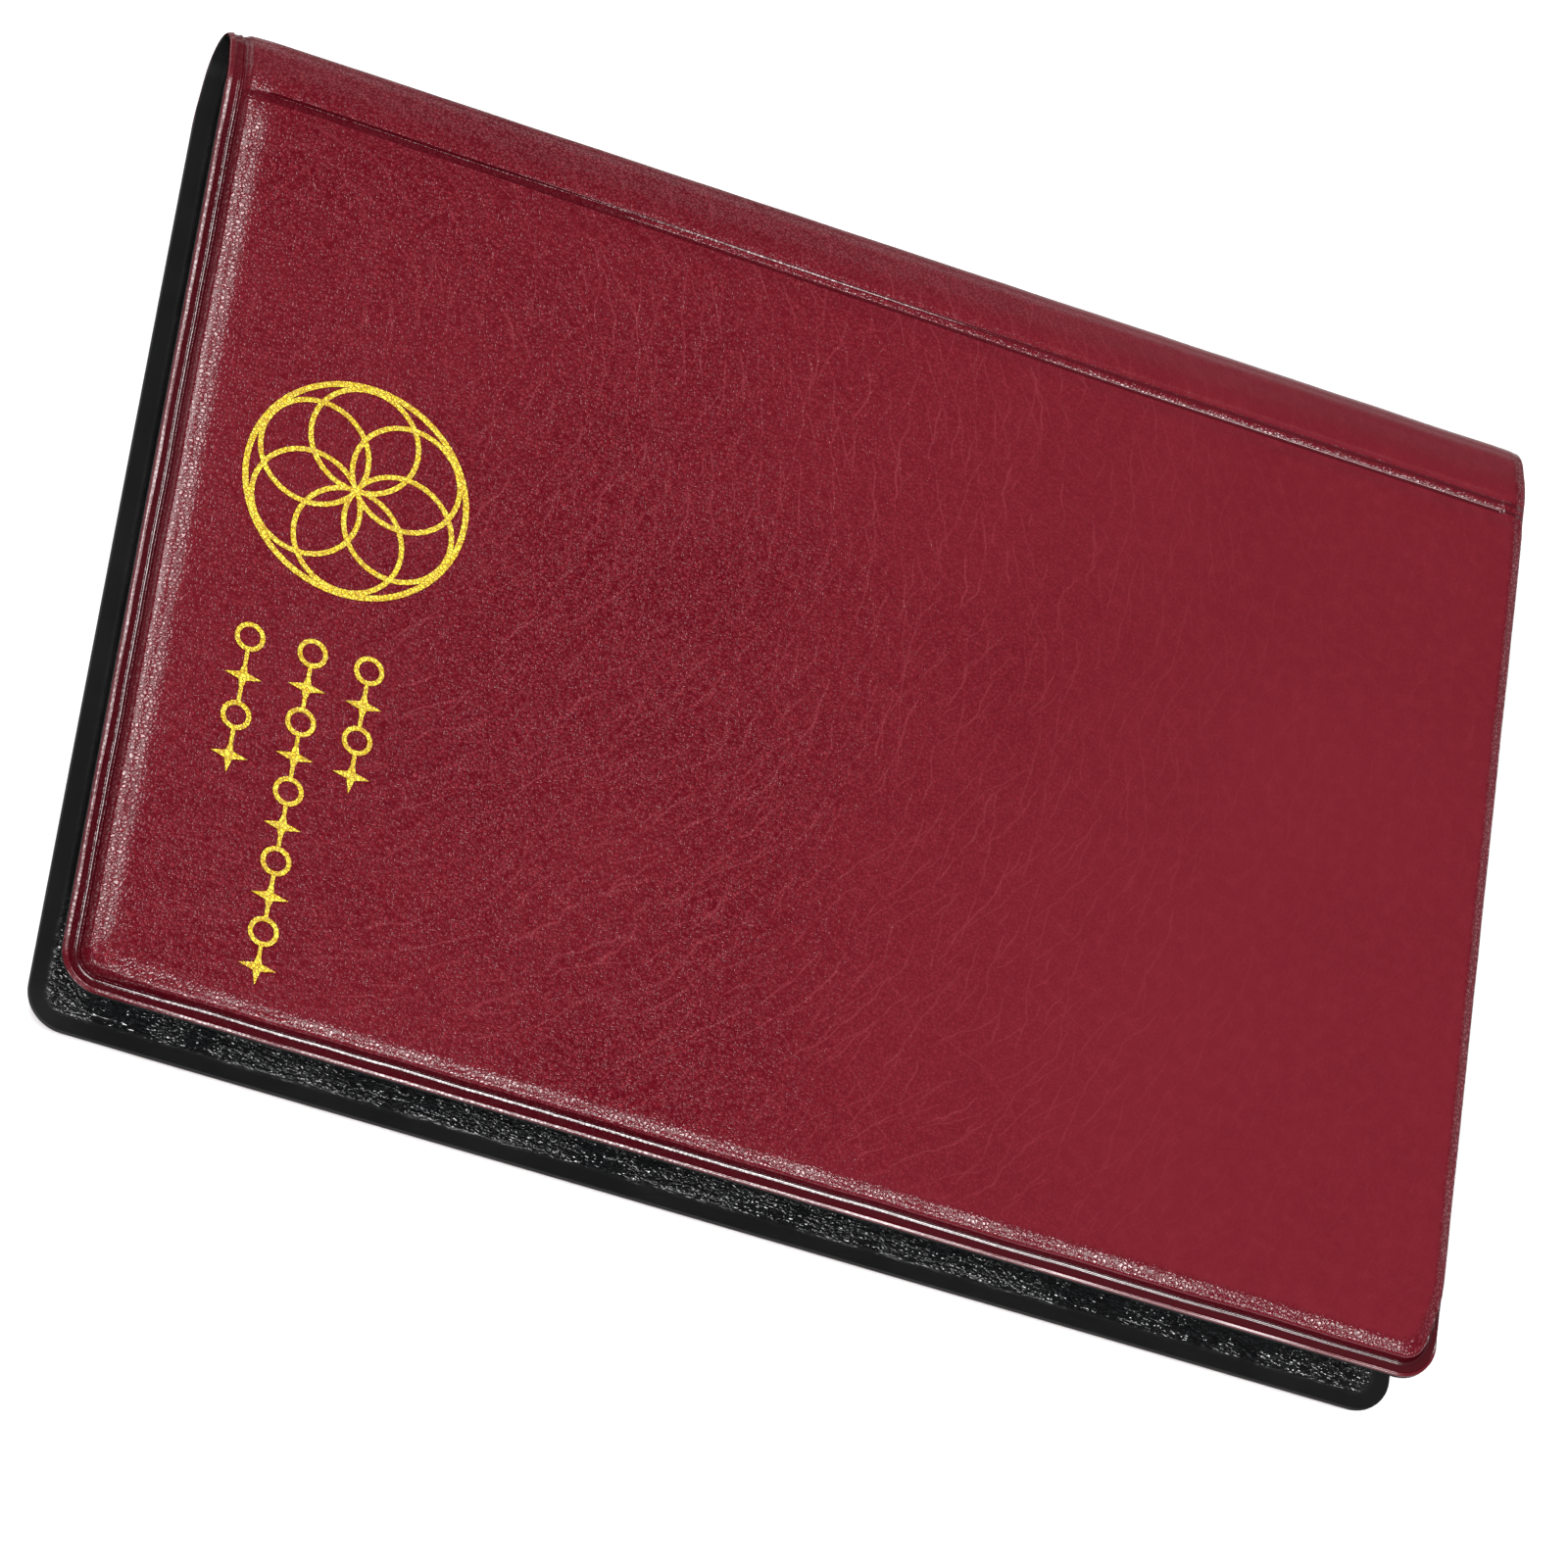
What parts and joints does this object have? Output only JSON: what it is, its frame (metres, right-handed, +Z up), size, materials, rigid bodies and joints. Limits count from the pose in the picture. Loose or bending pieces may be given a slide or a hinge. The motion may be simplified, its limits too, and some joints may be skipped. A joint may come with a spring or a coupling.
{
  "type": "coin album",
  "caption": "Closed pocket album for coins: padded leather-look covers with welded edges, soft rounded spine, clear pocket leaves and gold foil ornament.",
  "frame": {"origin": "centre of the bounding box at its base, on the back cover's panel face", "axes": "+X along the spine, +Y from the fore edge to the spine, +Z up from the back cover through the front cover"},
  "size_m": [0.18, 0.135, 0.018],
  "materials": {
    "leather": "burgundy grained vinyl leather, semi-gloss",
    "lining": "black grained vinyl, semi-gloss",
    "foam": "soft white foam sheet",
    "board": "plain greyboard",
    "film": "clear soft vinyl film",
    "binding": "black welded vinyl strip",
    "foil": "stamped gold foil"
  },
  "bodies": {
    "back_cover": {"back_skin": "leather", "back_pad": "foam", "back_board": "board", "back_lining": "lining"},
    "spine_lower": {"spine_skin_lower": "leather", "spine_lining_lower": "lining"},
    "spine_middle": {"spine_skin_middle": "leather", "spine_lining_middle": "lining", "binding_strip": "binding"},
    "spine_upper": {"spine_skin_upper": "leather", "spine_lining_upper": "lining"},
    "front_cover": {"front_skin": "leather", "front_pad": "foam", "front_board": "board", "front_lining": "lining", "foil_emblem": "foil", "foil_row_inner": "foil", "foil_row_middle": "foil", "foil_row_outer": "foil"},
    "leaf_01": {"leaf_01_back": "film", "leaf_01_pockets": "film"},
    "leaf_02": {"leaf_02_back": "film", "leaf_02_pockets": "film"},
    "leaf_03": {"leaf_03_back": "film", "leaf_03_pockets": "film"},
    "leaf_04": {"leaf_04_back": "film", "leaf_04_pockets": "film"},
    "leaf_05": {"leaf_05_back": "film", "leaf_05_pockets": "film"},
    "leaf_06": {"leaf_06_back": "film", "leaf_06_pockets": "film"},
    "leaf_07": {"leaf_07_back": "film", "leaf_07_pockets": "film"},
    "leaf_08": {"leaf_08_back": "film", "leaf_08_pockets": "film"},
    "leaf_09": {"leaf_09_back": "film", "leaf_09_pockets": "film"},
    "leaf_10": {"leaf_10_back": "film", "leaf_10_pockets": "film"}
  },
  "joints": [
    {"name": "back_fold", "type": "hinge", "parent": "back_cover", "child": "spine_lower", "pos_m": [0, 0.0569, 0.002], "axis": [-1, 0, 0], "range_deg": [0, 19.81]},
    {"name": "spine_flex_lower", "type": "hinge", "parent": "spine_lower", "child": "spine_middle", "pos_m": [0, 0.06657, 0.00548], "axis": [-1, 0, 0], "range_deg": [0, 70.2]},
    {"name": "spine_flex_upper", "type": "hinge", "parent": "spine_middle", "child": "spine_upper", "pos_m": [0, 0.06657, 0.01244], "axis": [-1, 0, 0], "range_deg": [0, 70.2]},
    {"name": "front_fold", "type": "hinge", "parent": "spine_upper", "child": "front_cover", "pos_m": [0, 0.0569, 0.01592], "axis": [-1, 0, 0], "range_deg": [0, 19.81]},
    {"name": "leaf_01_turn", "type": "hinge", "parent": "spine_middle", "child": "leaf_01", "pos_m": [0, 0.0585, 0.00379], "axis": [-1, 0, 0], "range_deg": [-73.7, 0]},
    {"name": "leaf_02_turn", "type": "hinge", "parent": "spine_middle", "child": "leaf_02", "pos_m": [0, 0.0585, 0.00494], "axis": [-1, 0, 0], "range_deg": [-57.3, 0]},
    {"name": "leaf_03_turn", "type": "hinge", "parent": "spine_middle", "child": "leaf_03", "pos_m": [0, 0.0585, 0.00609], "axis": [-1, 0, 0], "range_deg": [-41, 0]},
    {"name": "leaf_04_turn", "type": "hinge", "parent": "spine_middle", "child": "leaf_04", "pos_m": [0, 0.0585, 0.00724], "axis": [-1, 0, 0], "range_deg": [-24.6, 0]},
    {"name": "leaf_05_turn", "type": "hinge", "parent": "spine_middle", "child": "leaf_05", "pos_m": [0, 0.0585, 0.00839], "axis": [-1, 0, 0], "range_deg": [-8.2, 0]},
    {"name": "leaf_06_turn", "type": "hinge", "parent": "spine_middle", "child": "leaf_06", "pos_m": [0, 0.0585, 0.00954], "axis": [-1, 0, 0], "range_deg": [0, 8.2]},
    {"name": "leaf_07_turn", "type": "hinge", "parent": "spine_middle", "child": "leaf_07", "pos_m": [0, 0.0585, 0.01069], "axis": [-1, 0, 0], "range_deg": [0, 24.6]},
    {"name": "leaf_08_turn", "type": "hinge", "parent": "spine_middle", "child": "leaf_08", "pos_m": [0, 0.0585, 0.01184], "axis": [-1, 0, 0], "range_deg": [0, 41]},
    {"name": "leaf_09_turn", "type": "hinge", "parent": "spine_middle", "child": "leaf_09", "pos_m": [0, 0.0585, 0.01299], "axis": [-1, 0, 0], "range_deg": [0, 57.3]},
    {"name": "leaf_10_turn", "type": "hinge", "parent": "spine_middle", "child": "leaf_10", "pos_m": [0, 0.0585, 0.01413], "axis": [-1, 0, 0], "range_deg": [0, 73.7]}
  ],
  "couplings": [
    {"joint": "back_fold", "follows": "spine_flex_upper", "ratio": 0.28205},
    {"joint": "spine_flex_lower", "follows": "spine_flex_upper", "ratio": 1},
    {"joint": "front_fold", "follows": "spine_flex_upper", "ratio": 0.28205},
    {"joint": "leaf_01_turn", "follows": "spine_flex_upper", "ratio": -1.049},
    {"joint": "leaf_02_turn", "follows": "spine_flex_upper", "ratio": -0.8159},
    {"joint": "leaf_03_turn", "follows": "spine_flex_upper", "ratio": -0.5828},
    {"joint": "leaf_04_turn", "follows": "spine_flex_upper", "ratio": -0.3497},
    {"joint": "leaf_05_turn", "follows": "spine_flex_upper", "ratio": -0.1166},
    {"joint": "leaf_06_turn", "follows": "spine_flex_upper", "ratio": 0.1166},
    {"joint": "leaf_07_turn", "follows": "spine_flex_upper", "ratio": 0.3497},
    {"joint": "leaf_08_turn", "follows": "spine_flex_upper", "ratio": 0.5828},
    {"joint": "leaf_09_turn", "follows": "spine_flex_upper", "ratio": 0.8159},
    {"joint": "leaf_10_turn", "follows": "spine_flex_upper", "ratio": 1.049}
  ]
}
